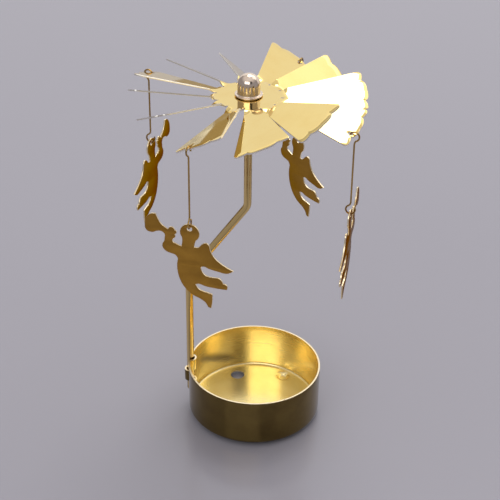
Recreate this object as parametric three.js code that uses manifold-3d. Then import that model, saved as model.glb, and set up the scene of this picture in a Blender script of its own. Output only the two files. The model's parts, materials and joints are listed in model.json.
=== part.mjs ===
// Candle carousel in polished brass. A drawn cup holds a tealight and stands on three pressed feet. A bent rod
// stands in a socket lanced into the cup's wall, and its ground point carries a stamped wind wheel under a domed
// bearing cap. Four flat figures of trumpeting angels hang from the wheel on wire hangers.
// The origin is the centre of the cup's floor, on the upper face where the candle sits. +Z is up, in millimetres.
import * as THREE from "three";
import { mergeVertices } from "three/addons/utils/BufferGeometryUtils.js";
import Module from "manifold-3d";

const wasm = await Module();
wasm.setup();

// Shared fits
const runningGap = 0.3; // between pieces that touch or slide
const overrun = 1; // how far a cutter passes the face it cuts
const degree = Math.PI / 180;

// Cup
const cupRadius = 25;
const cupDepth = 18.4; // from the candle seat to the rim
const cupSheet = 0.6;
const cupCorner = 1.2; // inside radius between floor and wall
const footDrop = 1.4; // how far the feet are pressed below the floor
const footMouthRadius = 2;
const footFlatRadius = 1.4;
const footCircleRadius = 20.4;
const footCount = 3;
const footTurn = 55.5 * degree;
const ventRadius = 2.7;
const ventCircleRadius = 18.2;
const ventTurn = 110.9 * degree;

// Stem
const stemRadius = 1.4;
const stemSides = 16;
const stemBend = 5; // radius of both bends, to the rod's middle
const lowerBendHeight = 56.2;
const upperBendHeight = 86.8;
const hubDistance = 3.3; // from the cup's axis towards the socket
const stemPointLength = 5;
const stemTipRadius = 0.25;

// Socket that is lanced into the cup's wall
const socketTurn = 172.3 * degree;
const socketSill = 3.6; // height of the wall left uncut under the socket
const bandCount = 3;
const bandSlit = 0.4;

// Wind wheel
const wheelSheet = 0.5;
const wheelHeight = 129.1; // middle of the sheet
const hubRadius = 11;
const hubHoleRadius = 3.7;
const bladeCount = 12;
const firstBladeTurn = 6.3 * degree;
const neckHalf = 2.5;
const neckLength = 2.6; // the stretch of each blade that takes the twist
const neckSteps = 4;
const bladeReach = 40.2;
const bladeHalf = 9; // half the width where the side ends
const notchDepth = 1.3;
const cornerWidth = 4.1; // from the side to the notch
const cornerDrop = 2.2; // how far the side stops short of the blade's reach
const cornerPull = 2.2; // handle of the corner's round
const lobePull = 0.4; // handles of the middle lobe's round
const lobeStep = 1.2;
const slitRelief = 0.4; // how far each slit's end runs into the hub

// Each blade is set by hand, so each has its own twist and its own rise (+) or droop (-), in degrees
const bladeSettings = [
  { twist: 20, rise: 1 },
  { twist: 33, rise: -4 },
  { twist: 26, rise: -1 },
  { twist: 41, rise: -13 },
  { twist: 30, rise: -6 },
  { twist: 19, rise: 2 },
  { twist: 24, rise: 7 },
  { twist: 26, rise: 5 },
  { twist: 28, rise: -2 },
  { twist: 21, rise: 0 },
  { twist: 27, rise: 10 },
  { twist: 18, rise: -8 },
];

// Bearing cap
const capSheet = 0.5;
const capRadius = 3.9; // of the dome
const capBaseRadius = 4; // where the wall below the dome has widened to the flange
const capHeight = 7.6; // above its flange's seat
const flangeRadius = 4.8;
const lipRadius = 4.4;

// Hangers
const wireRadius = 0.3;
const eyeRadius = 1.6; // to the wire's middle
const eyeMeet = 60 * degree; // where on its round the eye leaves the lead from the leg
const eyeTurn = 270 * degree;
const eyeLead = 1.3; // length over which the wire swings from its leg into the eye
const bladeHoleRadius = 0.9;
const edgeStrip = 1.2; // metal left between a blade's hole and its outer edge
const holeSideDistance = 3.3; // from the middle of the blade towards its lower edge
const hangerLength = 26.3; // from eye to eye

// Angels
const angelSheet = 0.5;
const angelHeight = 32;
const headRadius = 3.3;
const headDrop = 1.6; // from the hanging hole to the head's centre
const angelHoleRadius = 0.9;
const headTuck = 25 * degree; // how far round the head's circle stops short of the neck's corners

// Which blade carries each figure, how far the figure is turned from the wheel's tangent, and the share of the
// hangers' length between its eyes, since each hanger is bent by hand
const hangings = [
  { name: "back", blade: 2, turn: 154 * degree, lengthShare: 1.115 },
  { name: "left", blade: 5, turn: 2 * degree, lengthShare: 0.942 },
  { name: "front", blade: 8, turn: 9 * degree, lengthShare: 1 },
  { name: "right", blade: 11, turn: 189 * degree, lengthShare: 1.03 },
];

const point = (x, y) => new THREE.Vector2(x, y);
const place = (x, y, z) => new THREE.Vector3(x, y, z);
const polar = (radius, turn, z) => place(radius * Math.cos(turn), radius * Math.sin(turn), z);
const brass = (color, roughness) => new THREE.MeshStandardMaterial({ color, roughness, metalness: 1 });

function closedSolid(geometry) {
  const bare = geometry.index ? geometry.toNonIndexed() : geometry.clone();
  bare.deleteAttribute("normal");
  bare.deleteAttribute("uv");
  const welded = mergeVertices(bare);
  const triVerts = new Uint32Array(welded.index.array);
  const vertProperties = welded.attributes.position.array;
  return new wasm.Manifold(new wasm.Mesh({ numProp: 3, vertProperties, triVerts }));
}

function geometryOf(solid) {
  const { vertProperties, triVerts } = solid.getMesh();
  const geometry = new THREE.BufferGeometry();
  geometry.setAttribute("position", new THREE.BufferAttribute(vertProperties, 3));
  geometry.setIndex(new THREE.BufferAttribute(triVerts, 1));
  geometry.computeVertexNormals();
  return geometry;
}

// A profile of radius and height turned about the Z axis
function turned(profile, segments) {
  return new THREE.LatheGeometry(profile, segments).rotateX(Math.PI / 2);
}

function arcPoints(x, y, radius, from, to, steps) {
  const arc = new THREE.EllipseCurve(x, y, radius, radius, from, to, to < from);
  return arc.getPoints(steps);
}

// Cup: floor, wall and rim in one turned profile
function cupShell() {
  const outerCorner = cupCorner + cupSheet;
  const cornerAxis = cupRadius - outerCorner;
  return turned(
    [
      point(0, -cupSheet),
      ...arcPoints(cornerAxis, cupCorner, outerCorner, -Math.PI / 2, 0, 5),
      point(cupRadius, cupDepth),
      point(cupRadius - cupSheet, cupDepth),
      ...arcPoints(cornerAxis, cupCorner, cupCorner, 0, -Math.PI / 2, 4),
      point(0, 0),
    ],
    64,
  );
}

// A foot is a dimple: a cone pressed down through the floor
function footOutside() {
  const flat = footFlatRadius;
  const mouth = footMouthRadius + cupSheet;
  const profile = [
    point(0, -cupSheet - footDrop),
    point(flat, -cupSheet - footDrop),
    point(mouth, -cupSheet),
    point(mouth, -cupSheet / 2),
    point(0, -cupSheet / 2),
  ];
  return turned(profile, 20);
}

function footInside() {
  const flat = footFlatRadius - cupSheet;
  const profile = [
    point(0, -footDrop),
    point(flat, -footDrop),
    point(footMouthRadius, 0),
    point(footMouthRadius, overrun),
    point(0, overrun),
  ];
  return turned(profile, 20);
}

function ventCutter() {
  const profile = [
    point(0, -cupSheet - overrun),
    point(ventRadius, -cupSheet - overrun),
    point(ventRadius, overrun),
    point(0, overrun),
  ];
  return turned(profile, 24);
}

// Socket: half rings of the wall's own sheet, pushed in and out by turns, that the rod threads through
const socketAxis = cupRadius - cupSheet / 2;
const bandInside = stemRadius + runningGap;
const bandOutside = bandInside + cupSheet;
const bandHeight = (cupDepth - socketSill - bandSlit * (bandCount - 1)) / bandCount;
const stemFoot = socketSill + runningGap;

function socketBand(index) {
  const outward = index % 2 === 1;
  const from = outward ? -Math.PI / 2 : Math.PI / 2;
  const ring = new THREE.Shape([
    ...arcPoints(0, 0, bandOutside, from, from + Math.PI, 10),
    ...arcPoints(0, 0, bandInside, from + Math.PI, from, 10),
  ]);
  const band = new THREE.ExtrudeGeometry(ring, { depth: bandHeight, bevelEnabled: false });
  const level = socketSill + index * (bandHeight + bandSlit);
  return band.translate(socketAxis, 0, level).rotateZ(socketTurn);
}

function socketWindow() {
  const height = cupDepth - socketSill + overrun;
  const window = new THREE.BoxGeometry(2 * bandOutside, 2 * bandInside, height);
  return window.translate(socketAxis, 0, socketSill + height / 2).rotateZ(socketTurn);
}

function cup() {
  let solid = closedSolid(cupShell());
  for (let i = 0; i < footCount; i++) {
    const turn = footTurn + (i * 2 * Math.PI) / footCount;
    const { x, y } = polar(footCircleRadius, turn, 0);
    solid = solid.add(closedSolid(footOutside().translate(x, y, 0)));
    solid = solid.subtract(closedSolid(footInside().translate(x, y, 0)));
  }
  const vent = polar(ventCircleRadius, ventTurn, 0);
  solid = solid.subtract(closedSolid(ventCutter().translate(vent.x, vent.y, 0)));
  solid = solid.subtract(closedSolid(socketWindow()));
  for (let i = 0; i < bandCount; i++) solid = solid.add(closedSolid(socketBand(i)));
  return geometryOf(solid);
}

// A route for a swept rod or wire: its points stand where the bends need them, not at even distances
class Route extends THREE.Curve {
  constructor(points) {
    super();
    this.points = points;
  }

  getPointAt(share) {
    return this.points[Math.round(share * (this.points.length - 1))].clone();
  }

  getTangentAt(share) {
    const i = Math.round(share * (this.points.length - 1));
    const here = this.points[i];
    const ahead = (this.points[i + 1] ?? here).clone().sub(here).normalize();
    const behind = here.clone().sub(this.points[i - 1] ?? here).normalize();
    return ahead.add(behind).normalize();
  }
}

function swept(points, radius, sides) {
  const section = new THREE.Shape(arcPoints(0, 0, radius, 0, 2 * Math.PI, sides).slice(0, -1));
  const extrudePath = new Route(points);
  return new THREE.ExtrudeGeometry(section, { steps: points.length - 1, extrudePath, bevelEnabled: false });
}

// The points of an arc that rounds the corner between two straight runs
function roundedCorner(before, corner, after, radius, steps) {
  const back = before.clone().sub(corner).normalize();
  const on = after.clone().sub(corner).normalize();
  const half = back.angleTo(on) / 2;
  const middle = back.clone().add(on).setLength(radius / Math.sin(half)).add(corner);
  const start = back.clone().setLength(radius / Math.tan(half)).add(corner).sub(middle);
  const axis = start.clone().cross(on).normalize();
  const sweep = Math.PI - 2 * half;
  const points = [];
  for (let i = 0; i <= steps; i++) {
    points.push(start.clone().applyAxisAngle(axis, (sweep * i) / steps).add(middle));
  }
  return points;
}

// Stem: it rises in the socket, leans over to the wheel's axis and ends in a ground point
const capInsideTop = wheelHeight + wheelSheet / 2 + runningGap + capHeight - capSheet;
const stemTop = capInsideTop - runningGap;

function stem() {
  const foot = polar(socketAxis, socketTurn, stemFoot);
  const lower = polar(socketAxis, socketTurn, lowerBendHeight);
  const upper = polar(hubDistance, socketTurn, upperBendHeight);
  const shoulder = polar(hubDistance, socketTurn, stemTop - stemPointLength);
  const route = [
    foot,
    ...roundedCorner(foot, lower, upper, stemBend, 5),
    ...roundedCorner(lower, upper, shoulder, stemBend, 5),
    shoulder,
  ];
  const rod = closedSolid(swept(route, stemRadius, stemSides));
  const tip = turned(
    [
      point(0, -overrun),
      point(stemRadius * Math.cos(Math.PI / stemSides), -overrun),
      point(stemRadius, 0),
      point(stemTipRadius, stemPointLength - stemTipRadius),
      point(0, stemPointLength),
    ],
    stemSides,
  );
  return geometryOf(rod.add(closedSolid(tip.translate(shoulder.x, shoulder.y, shoulder.z))));
}

// Sheet metal: flat regions of a blank that share their edges, bent by a rule from blank to place
function bentSheet(regions, thickness, bend) {
  const blank = [];
  const known = new Map();
  const indexOf = (p) => {
    const key = p.x.toFixed(5) + " " + p.y.toFixed(5);
    if (!known.has(key)) {
      known.set(key, blank.length);
      blank.push(p);
    }
    return known.get(key);
  };
  const faces = [];
  for (const { contour, holes } of regions) {
    const corners = [...contour, ...holes.flat()].map(indexOf);
    for (const face of THREE.ShapeUtils.triangulateShape(contour, holes)) {
      const [a, b, c] = face.map((i) => corners[i]);
      const area = THREE.ShapeUtils.area([blank[a], blank[b], blank[c]]);
      faces.push(area > 0 ? [a, b, c] : [a, c, b]);
    }
  }
  const used = new Set(faces.flatMap(([a, b, c]) => [a + "-" + b, b + "-" + c, c + "-" + a]));
  const below = blank.length;
  const index = [];
  for (const [a, b, c] of faces) {
    index.push(a, b, c, a + below, c + below, b + below);
    for (const [from, to] of [[a, b], [b, c], [c, a]]) {
      if (used.has(to + "-" + from)) continue;
      index.push(from + below, to + below, to, from + below, to, from);
    }
  }
  const upper = blank.map((p) => bend(p, thickness / 2));
  const lower = blank.map((p) => bend(p, -thickness / 2));
  const geometry = new THREE.BufferGeometry().setFromPoints([...upper, ...lower]);
  geometry.setIndex(index);
  geometry.computeVertexNormals();
  return geometry;
}

// Wind wheel: where a point of a blade's blank, out along the blade and across it, ends up once the blade is set
const bladeTurn = (index) => firstBladeTurn + (index * 2 * Math.PI) / bladeCount;

function setBlade(index, out, across, lift) {
  const { twist, rise } = bladeSettings[index];
  const share = THREE.MathUtils.smoothstep(out, hubRadius, hubRadius + neckLength);
  const along = Math.max(out - hubRadius, 0);
  const spot = place(0, across, lift).applyAxisAngle(place(1, 0, 0), twist * degree * share);
  spot.x += along;
  spot.applyAxisAngle(place(0, -1, 0), rise * degree * share);
  spot.x += out - along;
  return spot.applyAxisAngle(place(0, 0, 1), bladeTurn(index));
}

const wheelAxis = polar(hubDistance, socketTurn, wheelHeight);
const holeReach = bladeReach - edgeStrip - bladeHoleRadius;
const sideReach = bladeReach - cornerDrop;

// One blade's blank, from the end of its neck to its scalloped outer edge
function bladeEdge() {
  const rootReach = hubRadius + neckLength;
  const rootHalf = halfWidthAt(rootReach);
  const cornerReach = sideReach + cornerPull;
  const notchReach = bladeReach - notchDepth;
  const notchHalf = bladeHalf - cornerWidth;
  const lobeReach = bladeReach + lobePull;
  const lobeHalf = notchHalf - lobeStep;
  const edge = new THREE.Shape();
  edge.moveTo(rootReach, -rootHalf);
  edge.lineTo(sideReach, -bladeHalf);
  edge.quadraticCurveTo(cornerReach, -bladeHalf, notchReach, -notchHalf);
  edge.quadraticCurveTo(lobeReach, -lobeHalf, bladeReach, 0);
  edge.quadraticCurveTo(lobeReach, lobeHalf, notchReach, notchHalf);
  edge.quadraticCurveTo(cornerReach, bladeHalf, sideReach, bladeHalf);
  edge.lineTo(rootReach, rootHalf);
  return edge.getPoints(4);
}

function halfWidthAt(reach) {
  return THREE.MathUtils.mapLinear(reach, hubRadius, sideReach, neckHalf, bladeHalf);
}

function neckStrips() {
  const strips = [];
  for (let i = 0; i < neckSteps; i++) {
    const near = hubRadius + (neckLength * i) / neckSteps;
    const far = hubRadius + (neckLength * (i + 1)) / neckSteps;
    const nearHalf = halfWidthAt(near);
    const farHalf = halfWidthAt(far);
    strips.push([point(near, -nearHalf), point(far, -farHalf), point(far, farHalf), point(near, nearHalf)]);
  }
  return strips;
}

function windWheel() {
  const regions = [];
  const hub = [];
  const origin = point(0, 0);
  for (let k = 0; k < bladeCount; k++) {
    const turn = bladeTurn(k);
    const onWheel = (p) => p.clone().rotateAround(origin, turn);
    const hanging = hangings.some(({ blade }) => blade === k);
    const hole = arcPoints(holeReach, -holeSideDistance, bladeHoleRadius, 0, 2 * Math.PI, 12).slice(0, -1);
    const holes = hanging ? [hole.map(onWheel)] : [];
    regions.push({ contour: bladeEdge().map(onWheel), holes });
    for (const strip of neckStrips()) regions.push({ contour: strip.map(onWheel), holes: [] });
    hub.push(onWheel(point(hubRadius, -neckHalf)), onWheel(point(hubRadius, neckHalf)));
    const slitEnd = point(hubRadius - slitRelief, 0);
    hub.push(slitEnd.rotateAround(origin, turn + Math.PI / bladeCount));
  }
  const hubHole = arcPoints(0, 0, hubHoleRadius, 0, 2 * Math.PI, 24).slice(0, -1);
  regions.push({ contour: hub, holes: [hubHole] });
  const bend = (p, lift) => {
    const whole = Math.round((p.angle() - firstBladeTurn) / ((2 * Math.PI) / bladeCount));
    const k = (whole + bladeCount) % bladeCount;
    const local = p.clone().rotateAround(origin, -bladeTurn(k));
    return setBlade(k, local.x, local.y, lift).add(wheelAxis);
  };
  return bentSheet(regions, wheelSheet, bend);
}

// Bearing cap: a drawn dome whose skirt goes down through the wheel's hole and is rolled over below it
function bearingCap() {
  const seat = wheelSheet / 2 + runningGap;
  const skirtRadius = hubHoleRadius - runningGap;
  const domeAxis = seat + capHeight - capRadius;
  const innerDome = capRadius - capSheet;
  const profile = [
    point(0, seat + capHeight),
    ...arcPoints(0, domeAxis, capRadius, Math.PI / 2, 0, 8).slice(1),
    point(capBaseRadius, seat + capSheet),
    point(flangeRadius, seat + capSheet),
    point(flangeRadius, seat),
    point(skirtRadius, seat),
    point(skirtRadius, -seat),
    point(lipRadius, -seat),
    point(lipRadius, -seat - capSheet),
    point(skirtRadius - capSheet, -seat - capSheet),
    point(skirtRadius - capSheet, seat),
    point(capBaseRadius - capSheet, seat + capSheet),
    ...arcPoints(0, domeAxis, innerDome, 0, Math.PI / 2, 6).slice(0, -1),
    point(0, seat + capHeight - capSheet),
  ];
  return turned(profile.reverse(), 32).translate(wheelAxis.x, wheelAxis.y, wheelAxis.z);
}

// Where a blade's strip, between hole and edge, carries the upper eye, and the eyes' centres below it
function eyeCentres({ blade, lengthShare }) {
  const strip = setBlade(blade, bladeReach - edgeStrip / 2, -holeSideDistance, 0).add(wheelAxis);
  const eyeInside = eyeRadius - wireRadius - runningGap;
  const sag = Math.sqrt(eyeInside ** 2 - (edgeStrip / 2) ** 2) - wheelSheet / 2;
  const upper = strip.clone().setZ(strip.z - sag);
  const lower = upper.clone().setZ(upper.z - hangerLength * lengthShare);
  return { upper, lower };
}

// An open eye in the plane of two directions: from the leg's end round to the wire's free tip
function eye(centre, side, leg) {
  const at = ({ x, y }) => centre.clone().addScaledVector(side, x).addScaledVector(leg, y);
  const onRing = (turn) => point(eyeRadius * Math.cos(turn), eyeRadius * Math.sin(turn));
  const legEnd = eyeRadius + eyeLead;
  const meet = onRing(eyeMeet);
  const lead = new THREE.CubicBezierCurve(
    point(0, legEnd),
    point(0, legEnd - eyeLead / 2),
    point(meet.x - eyeLead / 2, meet.y + eyeLead / 3),
    meet,
  );
  const points = lead.getPoints(3).map(at);
  const steps = 15;
  for (let i = 1; i <= steps; i++) points.push(at(onRing(eyeMeet - (eyeTurn * i) / steps)));
  return points;
}

function hanger(hanging) {
  const { upper, lower } = eyeCentres(hanging);
  const turn = bladeTurn(hanging.blade);
  const outward = polar(1, turn, 0);
  const facing = polar(1, turn + hanging.turn, 0);
  const top = eye(upper, outward, place(0, 0, -1)).reverse();
  const bottom = eye(lower, facing, place(0, 0, 1));
  return geometryOf(closedSolid(swept([...top, ...bottom], wireRadius, 8)));
}

// Angel: the figure's outline from the hanging hole, in shares of its height, mouth of the trumpet first
const trumpetShares = [
  [-0.4, -0.1],
  [-0.466, -0.08],
  [-0.48, -0.008],
  [-0.461, 0.064],
  [-0.411, 0.118],
  [-0.36, 0.124],
];
const armTopShares = [
  [-0.337, 0.071],
  [-0.307, 0.016],
  [-0.258, -0.022],
  [-0.222, -0.01],
  [-0.184, -0.024],
  [-0.165, -0.076],
  [-0.184, -0.128],
  [-0.205, -0.162],
  [-0.192, -0.2],
  [-0.148, -0.218],
  [-0.095, -0.232],
];
const wingShares = [
  [0.044, -0.222],
  [0.088, -0.212],
  [0.126, -0.168],
  [0.165, -0.147],
  [0.199, -0.168],
  [0.215, -0.233],
  [0.261, -0.31],
  [0.324, -0.365],
  [0.395, -0.408],
  [0.456, -0.441],
  [0.406, -0.48],
  [0.302, -0.473],
  [0.197, -0.458],
  [0.132, -0.45],
];
const upperLegShares = [
  [0.098, -0.475],
  [0.134, -0.53],
  [0.19, -0.548],
  [0.252, -0.543],
  [0.309, -0.545],
  [0.342, -0.576],
  [0.355, -0.608],
  [0.397, -0.63],
  [0.395, -0.671],
  [0.322, -0.67],
  [0.241, -0.668],
  [0.162, -0.666],
  [0.092, -0.651],
];
const lowerLegShares = [
  [0.049, -0.663],
  [0.086, -0.714],
  [0.134, -0.732],
  [0.19, -0.744],
  [0.237, -0.753],
  [0.237, -0.832],
  [0.221, -0.925],
  [0.193, -0.92],
  [0.162, -0.866],
  [0.104, -0.826],
  [0.043, -0.802],
];
const bodyShares = [
  [-0.016, -0.762],
  [-0.068, -0.708],
  [-0.11, -0.632],
  [-0.134, -0.549],
  [-0.142, -0.451],
  [-0.139, -0.362],
  [-0.197, -0.33],
  [-0.257, -0.313],
  [-0.292, -0.276],
  [-0.297, -0.221],
  [-0.276, -0.164],
  [-0.266, -0.107],
  [-0.3, -0.07],
  [-0.351, -0.073],
];

function angelOutline() {
  const scaled = (shares) => shares.map(([x, y]) => point(x * angelHeight, y * angelHeight));
  const neckLeft = scaled(armTopShares).at(-1);
  const neckRight = scaled(wingShares)[0];
  const head = point(0, -headDrop);
  const from = neckLeft.clone().sub(head).angle() - headTuck;
  const to = neckRight.clone().sub(head).angle() + headTuck - 2 * Math.PI;
  const round = arcPoints(head.x, head.y, headRadius, from, to, 16);
  const lower = [wingShares, upperLegShares, lowerLegShares, bodyShares];
  return [...scaled(trumpetShares), ...scaled(armTopShares), ...round, ...lower.flatMap(scaled)];
}

// The figure hangs in its own vertical plane: across it, and up from its hole
function angel(hanging) {
  const { lower } = eyeCentres(hanging);
  const seat = angelHoleRadius - wireRadius - runningGap;
  const hole = lower.clone().setZ(lower.z - eyeRadius - seat);
  const across = polar(1, bladeTurn(hanging.blade) + Math.PI / 2 + hanging.turn, 0);
  const through = polar(1, bladeTurn(hanging.blade) + hanging.turn, 0);
  const rim = arcPoints(0, 0, angelHoleRadius, 0, 2 * Math.PI, 12).slice(0, -1);
  const bend = (p, lift) =>
    hole.clone().addScaledVector(across, p.x).addScaledVector(through, lift).add(place(0, 0, p.y));
  return bentSheet([{ contour: angelOutline(), holes: [rim] }], angelSheet, bend);
}

const carousel = new THREE.Group();

function addPiece(name, geometry, material) {
  const mesh = new THREE.Mesh(geometry, material);
  mesh.name = name;
  carousel.add(mesh);
}

const polishedBrass = brass(0xe0bd6a, 0.12);
const rodBrass = brass(0xcfae68, 0.15);
const wheelBrass = brass(0xe6cd86, 0.08);
const capBrass = brass(0xd9c3a0, 0.05);
const wireBrass = brass(0xa88d58, 0.25);
const figureBrass = brass(0xb8914a, 0.2);

addPiece("candle_cup", cup(), polishedBrass);
addPiece("stem", stem(), rodBrass);
addPiece("wind_wheel", windWheel(), wheelBrass);
addPiece("bearing_cap", bearingCap(), capBrass);
for (const hanging of hangings) {
  addPiece("hanger_" + hanging.name, hanger(hanging), wireBrass);
  addPiece("angel_" + hanging.name, angel(hanging), figureBrass);
}

export default carousel;
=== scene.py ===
import json
import math

import bmesh
import bpy
from mathutils import Matrix, Quaternion, Vector

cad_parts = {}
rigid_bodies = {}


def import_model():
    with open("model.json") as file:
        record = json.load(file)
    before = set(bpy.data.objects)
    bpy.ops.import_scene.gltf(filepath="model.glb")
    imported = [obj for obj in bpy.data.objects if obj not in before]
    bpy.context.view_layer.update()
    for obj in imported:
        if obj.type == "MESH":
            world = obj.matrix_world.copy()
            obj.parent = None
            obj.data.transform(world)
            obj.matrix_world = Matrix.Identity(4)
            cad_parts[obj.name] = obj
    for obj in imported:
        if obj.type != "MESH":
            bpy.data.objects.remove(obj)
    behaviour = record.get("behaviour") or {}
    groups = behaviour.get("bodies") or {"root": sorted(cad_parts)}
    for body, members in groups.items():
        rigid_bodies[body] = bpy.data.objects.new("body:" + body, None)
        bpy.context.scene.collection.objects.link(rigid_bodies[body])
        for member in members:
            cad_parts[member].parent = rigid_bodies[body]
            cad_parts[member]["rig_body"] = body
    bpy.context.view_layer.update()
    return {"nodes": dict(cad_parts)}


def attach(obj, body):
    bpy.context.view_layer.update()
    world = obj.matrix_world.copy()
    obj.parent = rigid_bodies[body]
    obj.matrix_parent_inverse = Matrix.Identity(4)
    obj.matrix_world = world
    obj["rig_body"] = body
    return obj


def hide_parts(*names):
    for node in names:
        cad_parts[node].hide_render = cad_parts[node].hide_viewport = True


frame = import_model()

# Camera: at the photograph's place, 0.38 m in front of the carousel and 0.3 m above the candle's seat.
# It looks down by 31 degrees, with a small roll.
camera_place = Vector((-0.0022, -0.3814, 0.3018))
camera_aim = Vector((-0.0022, 0.0, 0.0689))
camera_roll = math.radians(0.725)
camera_data = bpy.data.cameras.new("camera")
camera_data.lens = 89.37
camera_data.sensor_width = 36.0
camera_data.clip_start = 0.01
camera = bpy.data.objects.new("camera", camera_data)
camera.rotation_mode = "QUATERNION"
camera.location = camera_place
camera_turn = (camera_aim - camera_place).to_track_quat("-Z", "Y")
camera.rotation_quaternion = camera_turn @ Quaternion((0.0, 0.0, 1.0), camera_roll)
bpy.context.scene.collection.objects.link(camera)
bpy.context.scene.camera = camera


# Candle cup: one cup drawn from 0.6 mm sheet brass. It stands on three dimples pressed down through its
# floor, beside one punched vent hole. Its wall is slit into three bands at the left, which are pushed in,
# out and in by turns, so that the rod threads through them.
mm = 0.001
cup_radius = 25.0 * mm
cup_sheet = 0.6 * mm
cup_depth = 18.4 * mm
cup_corner = 1.5 * mm
cup_edge_round = 0.12 * mm
floor_step = 0.25 * mm
floor_rings = 92
corner_steps = 9
foot_drop = 1.4 * mm
foot_mouth = 3.1 * mm
foot_flat = 1.2 * mm
foot_circle = 20.4 * mm
foot_turns = [math.radians(55.5 + 120.0 * i) for i in range(3)]
vent_radius = 2.7 * mm
vent_circle = 18.2 * mm
vent_turn = math.radians(110.9)
socket_turn = math.radians(172.3)
socket_half_turn = math.radians(7.0)
socket_steps = 72
socket_sill = 3.6 * mm
socket_slit = 0.4 * mm
slit_share = 0.88
band_share = 0.9
band_pushes = [-1, 1, -1]
band_count = len(band_pushes)
band_height = (cup_depth - socket_sill - (band_count - 1) * socket_slit) / band_count
rod_radius = 1.4 * mm
band_gap = 0.3 * mm
wall_radius = cup_radius - cup_sheet / 2
band_radius = rod_radius + band_gap + cup_sheet / 2
band_root = 0.55 * mm
# Verts nearer than a weld are one, and a hair tells one level from the next
weld = 0.002 * mm
hair = 0.01 * mm


def polar(radius, turn, height=0.0):
    return Vector((radius * math.cos(turn), radius * math.sin(turn), height))


def arc(x, z, radius, start, end, steps):
    """Points of an arc in the plane that a spin starts from, angles in degrees."""
    turns = [math.radians(start + (end - start) * i / steps) for i in range(steps + 1)]
    return [Vector((x + radius * math.cos(t), 0.0, z + radius * math.sin(t))) for t in turns]


def smooth_share(value, low, high):
    share = min(max((value - low) / (high - low), 0.0), 1.0)
    return share * share * (3.0 - 2.0 * share)


def linear(hex_colour):
    """An sRGB hex colour as the linear values that shaders take."""
    parts = [int(hex_colour[i : i + 2], 16) / 255.0 for i in (0, 2, 4)]
    return [p / 12.92 if p <= 0.04045 else ((p + 0.055) / 1.055) ** 2.4 for p in parts] + [1.0]


def add_node(material, kind, settings=None, **links):
    """A shader node with its settings, and links from other nodes' outputs to its inputs."""
    node = material.node_tree.nodes.new("ShaderNode" + kind)
    for key, value in (settings or {}).items():
        if hasattr(node, key):
            setattr(node, key, value)
        else:
            node.inputs[key].default_value = value
    for key, source in links.items():
        material.node_tree.links.new(source, node.inputs[key.replace("_", " ")])
    return node


def brass(
    name, colour, shade, roughness, cloud_size, grain, grain_depth, wave_depth,
    shade_most=0.55, follows=None,
):
    """Brass with its own tone: clouds of tarnish, up to shade_most of the shade, or painted reflection
    streaks where the pattern follows an attribute, drawn or rolled grain in waves per metre, and sheet
    that is not quite flat. The pattern lies in the part's own space, or follows an attribute of the
    piece."""
    wave_size = 14.0 * mm
    material = bpy.data.materials.new(name)
    material.use_nodes = True
    shader = material.node_tree.nodes["Principled BSDF"]
    shader.inputs["Metallic"].default_value = 1.0
    if follows:
        place = add_node(material, "Attribute", {"attribute_name": follows}).outputs["Vector"]
    else:
        place = add_node(material, "TexCoord").outputs["Object"]
    cloud = add_node(
        material, "TexNoise", {"Scale": 1.0 / cloud_size, "Detail": 4.0, "Roughness": 0.6}, Vector=place
    )
    share = add_node(
        material, "MapRange", {"From Min": 0.42, "From Max": 0.72, "To Max": shade_most},
        Value=cloud.outputs["Fac"],
    )
    tone = add_node(
        material, "Mix", {"data_type": "RGBA", "A": linear(colour), "B": linear(shade)},
        Factor=share.outputs["Result"],
    )
    stretch = add_node(material, "Mapping", {"Scale": grain}, Vector=place)
    grained = add_node(
        material, "TexNoise", {"Scale": 1.0, "Detail": 3.0, "Roughness": 0.55},
        Vector=stretch.outputs["Vector"],
    )
    polish = add_node(
        material, "MapRange", {"To Min": roughness * 0.75, "To Max": roughness * 1.35},
        Value=grained.outputs["Fac"],
    )
    wave = add_node(material, "TexNoise", {"Scale": 1.0 / wave_size, "Detail": 1.0}, Vector=place)
    wavy = add_node(
        material, "Bump", {"Strength": 1.0, "Distance": wave_depth}, Height=wave.outputs["Fac"]
    )
    relief = add_node(
        material, "Bump", {"Strength": 1.0, "Distance": grain_depth},
        Height=grained.outputs["Fac"], Normal=wavy.outputs["Normal"],
    )
    links = material.node_tree.links
    links.new(tone.outputs["Result"], shader.inputs["Base Color"])
    links.new(polish.outputs["Result"], shader.inputs["Roughness"])
    links.new(relief.outputs["Normal"], shader.inputs["Normal"])
    return material


def new_piece(name, bm, materials, node, smooth_angle=math.radians(35.0)):
    """The object of a finished bmesh: it stands for a CAD node and rides on that node's body."""
    mesh = bpy.data.meshes.new(name)
    bm.to_mesh(mesh)
    bm.free()
    mesh.shade_smooth()
    mesh.set_sharp_from_angle(angle=smooth_angle)
    for material in materials:
        mesh.materials.append(material)
    made = bpy.data.objects.new(name, mesh)
    bpy.context.scene.collection.objects.link(made)
    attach(made, frame["nodes"][node]["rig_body"])
    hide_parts(node)
    return made


def soften_edges(piece, width, segments):
    """Rounds the sheared edges of a sheet, and leaves its smooth bends alone."""
    softened = piece.modifiers.new("edge", "BEVEL")
    softened.width = width
    softened.segments = segments
    softened.limit_method = "ANGLE"
    softened.angle_limit = math.radians(50.0)


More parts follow.
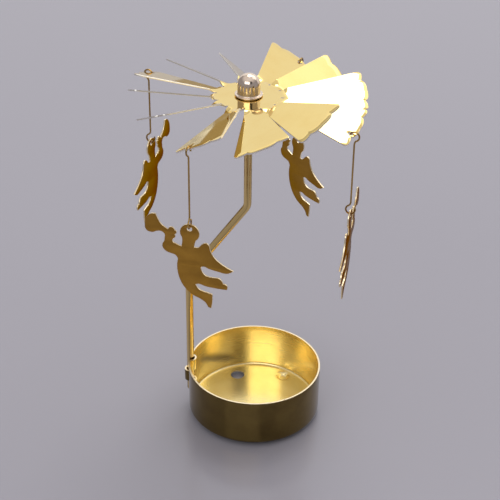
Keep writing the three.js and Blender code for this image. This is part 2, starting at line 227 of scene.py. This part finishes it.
# The cup's section in the middle of its sheet, with rings in the wall at the sill, at each band's middle
# and at both sides of each slit
cup_bm = bmesh.new()
floor_level = -cup_sheet / 2
wall_levels = [socket_sill, socket_sill + socket_slit]
for i in range(band_count):
    top = socket_sill + (i + 1) * band_height + i * socket_slit
    wall_levels += [top - band_height / 2, top]
    if i < band_count - 1:
        wall_levels.append(top + socket_slit)
profile = [Vector((floor_step * i, 0.0, floor_level)) for i in range(1, floor_rings + 1)]
profile += arc(wall_radius - cup_corner, floor_level + cup_corner, cup_corner, -90, 0, corner_steps)
profile += [Vector((wall_radius, 0.0, level)) for level in wall_levels]
chain = [cup_bm.verts.new(p) for p in profile]
edges = [cup_bm.edges.new(pair) for pair in zip(chain, chain[1:])]

# The sweep takes a step for each degree round the plain wall, and finer ones round the socket
start_turn = socket_turn + socket_half_turn
bmesh.ops.rotate(cup_bm, verts=chain, cent=(0, 0, 0), matrix=Matrix.Rotation(start_turn, 3, "Z"))
round_turn = 2 * math.pi - 2 * socket_half_turn
round_steps = round(math.degrees(round_turn))
swept = bmesh.ops.spin(
    cup_bm, geom=chain + edges, cent=(0, 0, 0), axis=(0, 0, 1), angle=round_turn, steps=round_steps,
    use_merge=False,
)
bmesh.ops.spin(
    cup_bm, geom=swept["geom_last"], cent=(0, 0, 0), axis=(0, 0, 1), angle=2 * socket_half_turn,
    steps=socket_steps, use_merge=False,
)
bmesh.ops.remove_doubles(cup_bm, verts=cup_bm.verts, dist=weld)
centre_ring = [e for e in cup_bm.edges if e.is_boundary and e.verts[0].co.length < 2 * floor_step]
bmesh.ops.holes_fill(cup_bm, edges=centre_ring, sides=0)

for foot_turn in foot_turns:
    foot = polar(foot_circle, foot_turn, floor_level)
    for vert in cup_bm.verts:
        reach = (vert.co - foot).length
        if reach < foot_mouth and vert.co.z < floor_level + hair:
            vert.co.z = floor_level - foot_drop * (1.0 - smooth_share(reach, foot_flat, foot_mouth))

vent = polar(vent_circle, vent_turn, floor_level)
vented = [f for f in cup_bm.faces if (f.calc_center_median() - vent).length < vent_radius]
bmesh.ops.delete(cup_bm, geom=vented, context="FACES")
for vert in cup_bm.verts:
    if vert.is_boundary and (vert.co - vent).length < vent_radius + 2 * floor_step:
        vert.co = vent + (vert.co - vent).normalized() * vent_radius


def in_socket(point):
    """How far round the socket's sector a point lies, from -1 to 1."""
    turn = math.atan2(point.y, point.x) % (2 * math.pi)
    return (turn - socket_turn) / socket_half_turn


slits = []
for face in cup_bm.faces:
    middle = face.calc_center_median()
    if abs(in_socket(middle)) > slit_share or middle.z < socket_sill:
        continue
    above = (middle.z - socket_sill) % (band_height + socket_slit)
    if above > band_height or middle.z < socket_sill + socket_slit:
        slits.append(face)
bmesh.ops.delete(cup_bm, geom=slits, context="FACES")

# A band runs along the wall, turns off it by a small round, and goes round the rod in a half ring
band_reach = band_radius + band_root
meet_turn = math.asin(band_root / band_reach)
meet_along = math.sqrt(band_reach**2 - band_root**2)
lead = wall_radius * socket_half_turn * band_share - meet_along
root_length = band_root * (math.pi / 2 - meet_turn)
ring_length = band_radius * (math.pi / 2 - meet_turn)


def band_route(share):
    """Along and off the wall at a share, from -1 to 1, of the band's way round the rod."""
    side = 1.0 if share > 0 else -1.0
    spent = (1.0 - abs(share)) * (lead + root_length + ring_length)
    if spent < lead:
        return side * (meet_along + lead - spent), 0.0
    spent -= lead
    if spent < root_length:
        angle = spent / band_root
        return side * (meet_along - band_root * math.sin(angle)), band_root * (1.0 - math.cos(angle))
    angle = meet_turn + (spent - root_length) / band_radius
    return side * band_radius * math.cos(angle), band_radius * math.sin(angle)


across = Vector((-math.sin(socket_turn), math.cos(socket_turn), 0.0))
outward = polar(1.0, socket_turn)
for vert in cup_bm.verts:
    share = in_socket(vert.co)
    if abs(share) > band_share or vert.co.z < socket_sill + hair:
        continue
    band = int((vert.co.z - socket_sill + hair) / (band_height + socket_slit))
    along, off = band_route(share / band_share)
    bulge = wall_radius * math.cos(along / wall_radius)
    vert.co = outward * (bulge + band_pushes[band] * off) + across * along + Vector((0, 0, vert.co.z))
bmesh.ops.recalc_face_normals(cup_bm, faces=cup_bm.faces)

# Clouds of tarnish are 9 mm wide. Grain is in waves per metre along the part's axes: rings of drawing
# 1.1 mm apart up the wall, and a polish in patches of 3 mm that runs no way
cloud_size = 9.0 * mm
drawn_grain = (0.04 / mm, 0.04 / mm, 0.9 / mm)
fine_grain = (0.3 / mm, 0.3 / mm, 0.3 / mm)
# Polished and lacquered, with painted shade: its colour is darkened so that the wall mirrors its
# surroundings in dark olive, and the rings of drawing break them up a little
painted_shade_cup_outside = brass(
    "polished brass painted dark as shade", "7A673B", "5E4B2B", 0.05, cloud_size, drawn_grain, 0.001 * mm, 0.02 * mm
)
# Satin from the drawing punch: light goes round inside the cup in soft warm bands, with no sharp image
inner_brass = brass(
    "satin drawn brass", "FBE8AA", "F3D78A", 0.24, cloud_size, drawn_grain, 0.0003 * mm, 0.03 * mm
)
# Sheared and not polished after: a fine pale line along the edge of a sheet, its colour paled further as
# a painted highlight
painted_highlight_rim = brass(
    "sheared rim paled as painted highlight", "F9E9C4", "F0D8A0", 0.28, cloud_size, fine_grain, 0.002 * mm, 0.0
)
cup = new_piece("cup", cup_bm, [painted_shade_cup_outside, inner_brass, painted_highlight_rim], "candle_cup")
wall = cup.modifiers.new("sheet", "SOLIDIFY")
wall.thickness = cup_sheet
wall.offset = 0.0
wall.material_offset = 1
wall.material_offset_rim = 2
soften_edges(cup, cup_edge_round, 3)


# Stem: a 2.8 mm rod of drawn brass, bent over the cup and back upright with a 5 mm bend, and turned to a
# point that carries the wheel. It drops into the socket by its own weight.
hub_distance = 3.3 * mm
foot_gap = 0.3 * mm
foot_level = socket_sill + foot_gap
lower_bend = 56.2 * mm
upper_bend = 86.8 * mm
bend_radius = 5.0 * mm
bend_steps = 16
rod_sides = 40
end_round = 0.3 * mm
point_length = 5.0 * mm
point_blunt = 0.35 * mm
point_share = 0.16
tip_length = 0.25 * mm
tip_share = 0.6
cap_height = 7.6 * mm
wheel_height = 129.1 * mm
wheel_sheet = 0.5 * mm
seat_gap = 0.3 * mm
cap_sheet = 0.5 * mm
stem_top = wheel_height + wheel_sheet / 2 + cap_height - cap_sheet
up = Vector((0.0, 0.0, 1.0))


def edges_of(geometry):
    return [g for g in geometry if isinstance(g, bmesh.types.BMEdge)]


def extrude(bm, edges):
    """Extrudes edges, and returns the new verts and the edges between them."""
    made = bmesh.ops.extrude_edge_only(bm, edges=edges)["geom"]
    verts = [g for g in made if isinstance(g, bmesh.types.BMVert)]
    fresh = set(verts)
    return verts, [e for e in edges_of(made) if set(e.verts) <= fresh]


def start_wire(bm, radius, place, direction, sides):
    """A ring of wire section at a place, square to a direction; returns its verts and edges. Each vert
    keeps its way round the section, which the sweeps carry along for the drawn metal's long grain lines
    and, on the rod, its painted reflection streaks."""
    round_layer = bm.verts.layers.float_vector.new("round")
    ring = bmesh.ops.create_circle(bm, radius=radius, segments=sides)["verts"]
    for vert in ring:
        vert[round_layer] = vert.co.normalized()
    turn = direction.to_track_quat("Z", "Y").to_matrix().to_4x4()
    bmesh.ops.transform(bm, verts=ring, matrix=Matrix.Translation(place) @ turn)
    return ring + list(dict.fromkeys(e for v in ring for e in v.link_edges))


def run_wire(bm, section, way, share=1.0):
    """Extends the wire straight by a vector, and scales its end about its own centre by a share."""
    verts, edges = extrude(bm, edges_of(section))
    bmesh.ops.translate(bm, verts=verts, vec=way)
    centre = sum((v.co for v in verts), Vector()) / len(verts)
    bmesh.ops.scale(bm, verts=verts, vec=(share, share, share), space=Matrix.Translation(-centre))
    return verts + edges


def bend_wire(bm, section, centre, axis, angle, steps):
    """Bends the wire round a centre."""
    made = bmesh.ops.spin(
        bm, geom=section, cent=centre, axis=axis, angle=angle, steps=steps, use_merge=False
    )
    return [g for g in made["geom_last"] if not isinstance(g, bmesh.types.BMFace)]


def close_wire(bm, section):
    bmesh.ops.contextual_create(bm, geom=edges_of(section))


stem_bm = bmesh.new()
lean = -outward * (wall_radius - hub_distance) + up * (upper_bend - lower_bend)
lean_turn = up.angle(lean)
lean_axis = up.cross(lean).normalized()
bend_length = bend_radius * math.tan(lean_turn / 2)
foot = outward * wall_radius + up * foot_level
rod = start_wire(stem_bm, rod_radius - end_round, foot, up, rod_sides)
close_wire(stem_bm, rod)
rod = run_wire(stem_bm, rod, up * end_round, rod_radius / (rod_radius - end_round))
rod = run_wire(stem_bm, rod, up * (lower_bend - bend_length - foot_level - end_round))
lower_centre = outward * (wall_radius - bend_radius) + up * (lower_bend - bend_length)
rod = bend_wire(stem_bm, rod, lower_centre, lean_axis, lean_turn, bend_steps)
rod = run_wire(stem_bm, rod, lean.normalized() * (lean.length - 2 * bend_length))
upper_centre = outward * (hub_distance + bend_radius) + up * (upper_bend + bend_length)
rod = bend_wire(stem_bm, rod, upper_centre, lean_axis, -lean_turn, bend_steps)
rod = run_wire(stem_bm, rod, up * (stem_top - point_length - upper_bend - bend_length))
rod = run_wire(stem_bm, rod, up * (point_length - point_blunt), point_share)
rod = run_wire(stem_bm, rod, up * tip_length, tip_share)
close_wire(stem_bm, rod)
bmesh.ops.recalc_face_normals(stem_bm, faces=stem_bm.faces)
# Drawn through a die, with painted reflections: pale and dark streaks of painted reflection run all the
# way along the rod and round its bends, over fine die lines in its roughness. Streaks of 0.84 mm and ten
# lines a millimetre are counted round the section, in radii of the rod
painted_reflection_width = 0.84 * mm / rod_radius
die_lines = 10.0 * rod_radius / mm
painted_reflection_rod = brass(
    "drawn rod with painted reflection streaks", "F0D28E", "3A2810", 0.1, painted_reflection_width, (die_lines, die_lines, 0.0), 0.004 * mm, 0.0,
    shade_most=0.95, follows="round",
)
new_piece("rod", stem_bm, [painted_reflection_rod], "stem", math.radians(50.0))


# Wind wheel: one disc stamped from 0.5 mm sheet and slit into twelve blades with scalloped ends. Each is
# twisted at its neck by hand, so no two stand quite alike. Four have a hole for a hanger near the tip.
wheel_centre = polar(hub_distance, socket_turn, wheel_height)
hub_radius = 11.0 * mm
hub_hole_radius = 3.7 * mm
hub_margin = 1.5 * mm
slit_relief = 0.4 * mm
blade_count = 12
first_blade_turn = math.radians(6.3)
neck_half = 2.5 * mm
neck_length = 2.6 * mm
neck_steps = 8
blade_reach = 40.2 * mm
blade_half = 9.0 * mm
blade_steps = 12
corner_drop = 2.2 * mm
side_reach = blade_reach - corner_drop
corner_width = 4.1 * mm
notch_depth = 1.3 * mm
lobe_rise = 0.4 * mm
lobe_inset = 1.2 * mm
scallop_steps = 10
hanger_hole_radius = 0.9 * mm
hole_sides = 32
punch_depth = 4.0 * mm
edge_strip = 1.2 * mm
hole_side = 3.3 * mm
hole_reach = blade_reach - edge_strip - hanger_hole_radius
wheel_edge_round = 0.07 * mm
blade_twists = [20, 33, 26, 41, 30, 19, 24, 26, 28, 21, 27, 18]
blade_rises = [1, -4, -1, -13, -6, 2, 7, 5, -2, 0, 10, -8]
hung_blades = [2, 5, 8, 11]


def curve_points(start, handle, end, steps):
    """Points of a quadratic curve, without its start."""
    shares = [i / steps for i in range(1, steps + 1)]
    return [start.lerp(handle, s).lerp(handle.lerp(end, s), s) for s in shares]


def flat(x, y):
    return Vector((x, y, 0.0))


# Half of a blade's end: a round corner down to a notch, and half of the middle lobe
notch_half = blade_half - corner_width
corner = flat(side_reach, -blade_half)
notch = flat(blade_reach - notch_depth, -notch_half)
half_edge = [corner]
half_edge += curve_points(corner, flat(blade_reach, -blade_half), notch, scallop_steps)
half_edge += curve_points(
    notch, flat(blade_reach + lobe_rise, lobe_inset - notch_half), flat(blade_reach, 0.0), scallop_steps
)
blade_edge = half_edge + [flat(p.x, -p.y) for p in reversed(half_edge[:-1])]


def blade_turn(index):
    return first_blade_turn + index * 2 * math.pi / blade_count


def set_blade(index, point):
    """Where a point of the flat blank, out along a blade and across it, lies in the twisted blade."""
    share = smooth_share(point.x, hub_radius, hub_radius + neck_length)
    along = max(point.x - hub_radius, 0.0)
    spot = Vector((0.0, point.y, 0.0))
    spot.rotate(Quaternion((1.0, 0.0, 0.0), math.radians(blade_twists[index]) * share))
    spot.x += along
    spot.rotate(Quaternion((0.0, -1.0, 0.0), math.radians(blade_rises[index]) * share))
    spot.x += point.x - along
    spot.rotate(Quaternion((0.0, 0.0, 1.0), blade_turn(index)))
    return spot + wheel_centre


# Each blade is a grid from its neck to its scalloped end, and the hub is drawn in from all the necks
wheel_bm = bmesh.new()
hub_chain = []
columns = len(blade_edge)
rows = neck_steps + 1 + blade_steps
root_half = neck_half + (blade_half - neck_half) * neck_length / (side_reach - hub_radius)
for k in range(blade_count):
    grid = bmesh.ops.create_grid(wheel_bm, x_segments=rows - 1, y_segments=columns - 1, size=1.0)["verts"]
    grid.sort(key=lambda v: (round(v.co.x, 4), round(v.co.y, 4)))
    for i, vert in enumerate(grid):
        row, column = divmod(i, columns)
        across_share = -1.0 + 2.0 * column / (columns - 1)
        near = flat(hub_radius, neck_half * across_share)
        neck_end = flat(hub_radius + neck_length, root_half * across_share)
        if row <= neck_steps:
            spot = near.lerp(neck_end, row / neck_steps)
        else:
            spot = neck_end.lerp(blade_edge[column], (row - neck_steps) / blade_steps)
        vert.co = set_blade(k, spot)
    slit_end = polar(hub_radius - slit_relief, blade_turn(k) + math.pi / blade_count) + wheel_centre
    hub_chain += grid[:columns]
    hub_chain.append(wheel_bm.verts.new(slit_end))
hub_edges = []
for pair in zip(hub_chain, hub_chain[1:] + hub_chain[:1]):
    hub_edges.append(wheel_bm.edges.get(pair) or wheel_bm.edges.new(pair))
for reach in (hub_radius - hub_margin, hub_hole_radius + hub_margin, hub_hole_radius):
    verts, hub_edges = extrude(wheel_bm, hub_edges)
    for vert in verts:
        vert.co = wheel_centre + (vert.co - wheel_centre).normalized() * reach
bmesh.ops.recalc_face_normals(wheel_bm, faces=wheel_bm.faces)

# Rolled and mirror polished: each blade shows one even tone of what it faces, with a slight waviness and
# faint lines of rolling, eight tenths of a millimetre apart
wheel_brass = brass(
    "stamped mirror brass", "F8DE92", "F3D484", 0.05, cloud_size, (0.06 / mm, 1.2 / mm, 0.06 / mm),
    0.0008 * mm, 0.03 * mm,
)
# Sheared by the stamp: a broad edge paled nearly to white as a painted highlight, which is all that shows
# of a blade that is seen end on
painted_highlight_wheel_edge = brass("stamped edge paled as painted highlight", "FAF5EA", "EDE4D0", 0.3, cloud_size, fine_grain, 0.002 * mm, 0.0)
wheel = new_piece("wheel", wheel_bm, [wheel_brass, painted_highlight_wheel_edge], "wind_wheel")
sheet = wheel.modifiers.new("sheet", "SOLIDIFY")
sheet.thickness = wheel_sheet
sheet.offset = 0.0
sheet.material_offset_rim = 1

# Four holes are punched square through the twisted sheet
punch_bm = bmesh.new()
for k in hung_blades:
    middle = set_blade(k, flat(hole_reach, -hole_side))
    out_way = (set_blade(k, flat(hole_reach + mm, -hole_side)) - middle).normalized()
    side_way = (set_blade(k, flat(hole_reach, -hole_side + mm)) - middle).normalized()
    punch_turn = out_way.cross(side_way).to_track_quat("Z", "Y").to_matrix().to_4x4()
    bmesh.ops.create_cone(
        punch_bm, cap_ends=True, segments=hole_sides, radius1=hanger_hole_radius,
        radius2=hanger_hole_radius, depth=punch_depth, matrix=Matrix.Translation(middle) @ punch_turn,
    )
punch_mesh = bpy.data.meshes.new("punch")
punch_bm.to_mesh(punch_mesh)
punch_bm.free()
punch = bpy.data.objects.new("punch", punch_mesh)
bpy.context.scene.collection.objects.link(punch)
cut = wheel.modifiers.new("holes", "BOOLEAN")
cut.object = punch
cut.solver = "EXACT"
bpy.context.view_layer.update()
evaluated_wheel = wheel.evaluated_get(bpy.context.evaluated_depsgraph_get())
cut_mesh = bpy.data.meshes.new_from_object(evaluated_wheel)
wheel.modifiers.clear()
wheel.data = cut_mesh
bpy.data.objects.remove(punch)
soften_edges(wheel, wheel_edge_round, 2)


# Bearing cap: a small deep-drawn dome in bright plated brass. Its skirt passes through the wheel's hole
# and is rolled over below, and the rod's point turns in its hollow.
cap_radius = 3.9 * mm
flange_radius = 4.8 * mm
flange_round = cap_sheet / 2
lip_radius = 4.4 * mm
dome_fillet = 0.35 * mm
mouth_fillet = 0.4 * mm
skirt_radius = hub_hole_radius - seat_gap
mouth_radius = skirt_radius - cap_sheet
seat = wheel_sheet / 2 + seat_gap
dome_axis = seat + cap_height - cap_radius
cap_steps = 96
cap_bm = bmesh.new()
cap_profile = arc(0.0, dome_axis, cap_radius, 90, 0, 14)
cap_profile += arc(cap_radius + dome_fillet, seat + cap_sheet + dome_fillet, dome_fillet, 180, 270, 5)
cap_profile += arc(flange_radius - flange_round, seat + flange_round, flange_round, 90, -90, 8)
cap_profile += [Vector((skirt_radius, 0.0, seat)), Vector((skirt_radius, 0.0, -seat))]
cap_profile += arc(lip_radius - flange_round, -seat - flange_round, flange_round, 90, -90, 8)
cap_profile += arc(
    mouth_radius + mouth_fillet, -seat - cap_sheet + mouth_fillet, mouth_fillet, 270, 180, 4
)
cap_profile += [
    Vector((mouth_radius, 0.0, seat)),
    Vector((cap_radius - cap_sheet, 0.0, seat + cap_sheet)),
]
cap_profile += arc(0.0, dome_axis, cap_radius - cap_sheet, 0, 90, 12)
cap_verts = [cap_bm.verts.new(p) for p in cap_profile]
cap_edges = [cap_bm.edges.new(pair) for pair in zip(cap_verts, cap_verts[1:])]
bmesh.ops.spin(
    cap_bm, geom=cap_verts + cap_edges, cent=(0, 0, 0), axis=(0, 0, 1), angle=2 * math.pi,
    steps=cap_steps, use_merge=True,
)
bmesh.ops.remove_doubles(cap_bm, verts=cap_bm.verts, dist=weld)
bmesh.ops.translate(cap_bm, verts=cap_bm.verts, vec=wheel_centre)
bmesh.ops.recalc_face_normals(cap_bm, faces=cap_bm.faces)
# Bright plated: a pale champagne tone that mirrors two lights as small spots, and the wheel at its foot
cap_brass = brass("bright plated cap", "F0DFCC", "D8BC9C", 0.14, 3.0 * mm, drawn_grain, 0.0005 * mm, 0.0)
new_piece("cap", cap_bm, [cap_brass], "bearing_cap")


# Hangers: drawn 0.6 mm brass wire, slightly dulled. Each is a straight leg with an open eye at both ends.
# The upper eye goes through a blade's hole and over its edge, and the lower one through a figure's head.
wire_radius = 0.3 * mm
wire_sides = 16
eye_radius = 1.6 * mm
eye_sweep = math.radians(270.0)
eye_steps = 36
eye_meet = math.radians(60.0)
meet_steps = 8
leg_lead = 2 * eye_radius * math.sin(eye_meet)
hanger_length = 26.3 * mm
# Name, blade, turn of the figure from facing outward, and share of the common length
hangings = [
    ("back", hung_blades[0], math.radians(154.0), 1.115),
    ("left", hung_blades[1], math.radians(2.0), 0.942),
    ("front", hung_blades[2], math.radians(9.0), 1.0),
    ("right", hung_blades[3], math.radians(189.0), 1.03),
]


def eye_centres(blade, length_share):
    """The middles of a hanger's upper and lower eyes."""
    strip = set_blade(blade, flat(blade_reach - edge_strip / 2, -hole_side))
    inside = eye_radius - wire_radius - seat_gap
    sag = math.sqrt(inside**2 - (edge_strip / 2) ** 2) - wheel_sheet / 2
    upper = strip - up * sag
    return upper, upper - up * hanger_length * length_share


def bend_eye(bm, section, centre, side, leg):
    """From the leg's end the wire bends off, and then all the way round into an open eye."""
    axis = side.cross(leg)
    off = centre + (side * math.cos(eye_meet) + leg * math.sin(eye_meet)) * 2 * eye_radius
    section = bend_wire(bm, section, off, axis, eye_meet, meet_steps)
    section = bend_wire(bm, section, centre, axis, -eye_sweep, eye_steps)
    close_wire(bm, section)


# Drawn and left to dull: a thin brown line with a soft glint down one side
wire_brass = brass("dulled brass wire", "BE9C5C", "6A5230", 0.18, cloud_size, fine_grain, 0.003 * mm, 0.0)
for name, blade, figure_turn, length_share in hangings:
    upper, lower = eye_centres(blade, length_share)
    out_way = polar(1.0, blade_turn(blade))
    face_way = polar(1.0, blade_turn(blade) + figure_turn)
    hanger_bm = bmesh.new()
    half = (upper.z - lower.z) / 2 - leg_lead
    ring = start_wire(hanger_bm, wire_radius, (upper + lower) / 2, up, wire_sides)
    top = run_wire(hanger_bm, ring, up * half)
    bend_eye(hanger_bm, top, upper, out_way, -up)
    bottom = run_wire(hanger_bm, ring, -up * half)
    bend_eye(hanger_bm, bottom, lower, face_way, up)
    bmesh.ops.recalc_face_normals(hanger_bm, faces=hanger_bm.faces)
    new_piece("wire_" + name, hanger_bm, [wire_brass], "hanger_" + name, math.radians(50.0))


# Angels: four flat figures blowing trumpets, stamped from 0.5 mm sheet. Their faces are polished and
# toned, and their sheared edges are bright, with a painted highlight. Each hangs by one hole in its head.
figure_sheet = 0.5 * mm
figure_height = 32.0 * mm
figure_hole_radius = 0.9 * mm
hole_knots = 8
head_radius = 3.3 * mm
head_drop = 1.6 * mm
head_start = 217.0
head_sweep = 268.0
head_steps = 12
edge_round = 0.06 * mm
face_slope = 0.9
# Shares of the figure's height, across and up from the hanging hole; a point with a 1 after it is sharp
outline_shares = [
    (-0.4, -0.1), (-0.466, -0.08), (-0.479, -0.008), (-0.461, 0.064), (-0.411, 0.118), (-0.36, 0.124, 1),
    (-0.337, 0.071), (-0.307, 0.016), (-0.262, -0.022), (-0.232, -0.035), (-0.217, -0.014),
    (-0.188, -0.008), (-0.168, -0.02), (-0.159, -0.04, 1), (-0.143, -0.05), (-0.143, -0.074),
    (-0.16, -0.09, 1), (-0.153, -0.112), (-0.166, -0.132), (-0.184, -0.152), (-0.182, -0.18),
    (-0.146, -0.2), (-0.09, -0.221, 1),
    "head",
    (0.044, -0.212, 1), (0.088, -0.206), (0.126, -0.166), (0.165, -0.143), (0.199, -0.16),
    (0.218, -0.225), (0.261, -0.302), (0.324, -0.358), (0.395, -0.4), (0.462, -0.43, 1), (0.4, -0.468),
    (0.302, -0.462), (0.197, -0.442), (0.14, -0.425), (0.112, -0.44, 1),
    (0.128, -0.49), (0.16, -0.528), (0.206, -0.543), (0.256, -0.543), (0.309, -0.545), (0.342, -0.576),
    (0.355, -0.604, 1), (0.372, -0.604), (0.4, -0.632), (0.395, -0.668, 1), (0.322, -0.67),
    (0.241, -0.668), (0.162, -0.662), (0.092, -0.645),
    (0.055, -0.655, 1), (0.086, -0.706), (0.134, -0.73), (0.19, -0.74), (0.237, -0.753, 1),
    (0.237, -0.832), (0.224, -0.925, 1), (0.193, -0.918, 1), (0.162, -0.866), (0.104, -0.826),
    (0.043, -0.802), (-0.016, -0.762), (-0.068, -0.708), (-0.11, -0.632), (-0.134, -0.549),
    (-0.142, -0.451), (-0.131, -0.372, 1), (-0.155, -0.335), (-0.205, -0.32), (-0.257, -0.303),
    (-0.29, -0.268), (-0.295, -0.221), (-0.274, -0.18), (-0.27, -0.14), (-0.268, -0.104), (-0.3, -0.075),
    (-0.351, -0.078),
]


def head_points():
    """The head's round, from the neck's left corner over the top to its right corner."""
    turns = [math.radians(head_start - head_sweep * i / head_steps) for i in range(head_steps + 1)]
    spots = [(head_radius * math.cos(t), head_radius * math.sin(t) - head_drop) for t in turns]
    return [(x / figure_height, y / figure_height) for x, y in spots]


def closed_spline(curve, points):
    """A closed curve through points, sharp where a point is a corner."""
    spline = curve.splines.new("BEZIER")
    spline.bezier_points.add(len(points) - 1)
    spline.use_cyclic_u = True
    spline.resolution_u = 6
    for knot, spot in zip(spline.bezier_points, points):
        knot.co = (spot[0] * figure_height, spot[1] * figure_height, 0.0)
        kind = "VECTOR" if len(spot) > 2 else "AUTO"
        knot.handle_left_type = knot.handle_right_type = kind


# One flat pattern for all four, a curve filled and given its thickness and rounded edges
figure_curve = bpy.data.curves.new("figure", "CURVE")
figure_curve.dimensions = "2D"
figure_curve.fill_mode = "BOTH"
figure_curve.bevel_depth = edge_round
figure_curve.bevel_resolution = 2
figure_curve.offset = -edge_round
figure_curve.extrude = figure_sheet / 2 - edge_round
outline = []
for spot in outline_shares:
    outline += head_points() if spot == "head" else [spot]
closed_spline(figure_curve, outline)
hole_share = figure_hole_radius / figure_height
hole_turns = [math.radians(360.0 * i / hole_knots) for i in range(hole_knots)]
closed_spline(figure_curve, [(hole_share * math.cos(t), hole_share * math.sin(t)) for t in hole_turns])
pattern = bpy.data.objects.new("figure", figure_curve)
bpy.context.scene.collection.objects.link(pattern)
bpy.context.view_layer.update()
evaluated_pattern = pattern.evaluated_get(bpy.context.evaluated_depsgraph_get())
figure_mesh = bpy.data.meshes.new_from_object(evaluated_pattern)
bpy.data.objects.remove(pattern)

# Toned and polished: a flat olive gold that darkens in clouds, and stays toned when seen at a slant
figure_brass = brass(
    "toned figure brass", "B98C3C", "946A2A", 0.13, cloud_size, fine_grain, 0.001 * mm, 0.03 * mm
)
figure_brass.node_tree.nodes["Principled BSDF"].inputs["Specular Tint"].default_value = linear("B48A48")
for name, blade, figure_turn, length_share in hangings:
    lower = eye_centres(blade, length_share)[1]
    hole = lower - up * (eye_radius + figure_hole_radius - wire_radius - seat_gap)
    through = polar(1.0, blade_turn(blade) + figure_turn)
    side = polar(1.0, blade_turn(blade) + math.pi / 2 + figure_turn)
    place = Matrix.Translation(hole) @ Matrix((side, up, through)).transposed().to_4x4()
    figure_bm = bmesh.new()
    figure_bm.from_mesh(figure_mesh)
    bmesh.ops.remove_doubles(figure_bm, verts=figure_bm.verts, dist=weld)
    bmesh.ops.recalc_face_normals(figure_bm, faces=figure_bm.faces)
    # Edge faces take the sheared rim brass, paled as a painted highlight
    for face in figure_bm.faces:
        face.material_index = 0 if abs(face.normal.z) > face_slope else 1
    bmesh.ops.transform(figure_bm, verts=figure_bm.verts, matrix=place)
    bmesh.ops.recalc_face_normals(figure_bm, faces=figure_bm.faces)
    new_piece(
        "figure_" + name, figure_bm, [figure_brass, painted_highlight_rim], "angel_" + name,
        math.radians(40.0),
    )


# Studio: a plain pale floor, and grey surroundings that are paler overhead, with a round dark flag high
# at the front right for the brass to mirror. Soft panels stand at the floor's far edge, at the right,
# overhead and in front.
ground = -foot_drop - cup_sheet
floor_radius = 3.0
floor_sides = 96
floor_bm = bmesh.new()
bmesh.ops.create_circle(
    floor_bm, cap_ends=True, segments=floor_sides, radius=floor_radius,
    matrix=Matrix.Translation((0.0, 0.0, ground)),
)
floor_mesh = bpy.data.meshes.new("floor")
floor_bm.to_mesh(floor_mesh)
floor_bm.free()
floor = bpy.data.objects.new("floor", floor_mesh)
bpy.context.scene.collection.objects.link(floor)
# Pale coated paper: an even cool grey with a faint blurred reflection
paper = bpy.data.materials.new("pale studio paper")
paper.use_nodes = True
paper_shader = paper.node_tree.nodes["Principled BSDF"]
paper_shader.inputs["Base Color"].default_value = linear("A3A1A9")
paper_shader.inputs["Roughness"].default_value = 0.2
floor_mesh.materials.append(paper)

flag_direction = (0.34, -0.73, 0.59)
world = bpy.data.worlds.new("studio")
bpy.context.scene.world = world
world.use_nodes = True
sky_way = add_node(world, "TexCoord").outputs["Generated"]
sky_height = add_node(world, "SeparateXYZ", Vector=sky_way)
sky_share = add_node(
    world, "MapRange", {"interpolation_type": "SMOOTHSTEP", "From Min": 0.4, "From Max": 0.92},
    Value=sky_height.outputs["Z"],
)
sky_tone = add_node(
    world, "Mix", {"data_type": "RGBA", "A": linear("98969C"), "B": linear("E4E0E2")},
    Factor=sky_share.outputs["Result"],
)
flag_nearness = add_node(world, "VectorMath", {"operation": "DOT_PRODUCT"}, Vector=sky_way)
flag_nearness.inputs[1].default_value = flag_direction
flag_share = add_node(
    world, "MapRange", {"interpolation_type": "SMOOTHSTEP", "From Min": 0.965, "From Max": 0.985},
    Value=flag_nearness.outputs["Value"],
)
flagged = add_node(
    world, "Mix", {"data_type": "RGBA", "B": linear("2A2A2E")},
    Factor=flag_share.outputs["Result"], A=sky_tone.outputs["Result"],
)
background = world.node_tree.nodes["Background"]
background.inputs["Strength"].default_value = 1.0
world.node_tree.links.new(flagged.outputs["Result"], background.inputs["Color"])


def panel(name, bearing, rise, distance, width, height, level, aim_height=0.1):
    """A soft light panel, at a bearing clockwise from straight behind and a rise in degrees; level is how
    bright its face looks. The camera doesn't see the panel itself."""
    lamp_data = bpy.data.lights.new(name, "AREA")
    lamp_data.shape = "RECTANGLE"
    lamp_data.size = width
    lamp_data.size_y = height
    lamp_data.energy = level * math.pi * width * height
    lamp = bpy.data.objects.new(name, lamp_data)
    lamp.rotation_mode = "QUATERNION"
    aim = Vector((0.0, 0.0, aim_height))
    level_way = Vector((math.sin(math.radians(bearing)), math.cos(math.radians(bearing)), 0.0))
    way = level_way * math.cos(math.radians(rise)) + up * math.sin(math.radians(rise))
    lamp.location = aim + way * distance
    lamp.rotation_quaternion = (-way).to_track_quat("-Z", "Y")
    lamp.visible_camera = False
    bpy.context.scene.collection.objects.link(lamp)


panel(
    "back panel", bearing=20.0, rise=0.0, distance=2.8, width=7.9, height=3.7, level=0.57, aim_height=1.85
)
panel("right panel", bearing=57.0, rise=48.0, distance=1.1, width=0.8, height=0.6, level=0.68)
panel("key panel", bearing=10.0, rise=64.0, distance=1.05, width=0.4, height=0.4, level=5.0)
panel("front panel", bearing=200.0, rise=35.0, distance=1.2, width=1.1, height=0.5, level=1.6)

bpy.context.scene.view_settings.view_transform = "Standard"
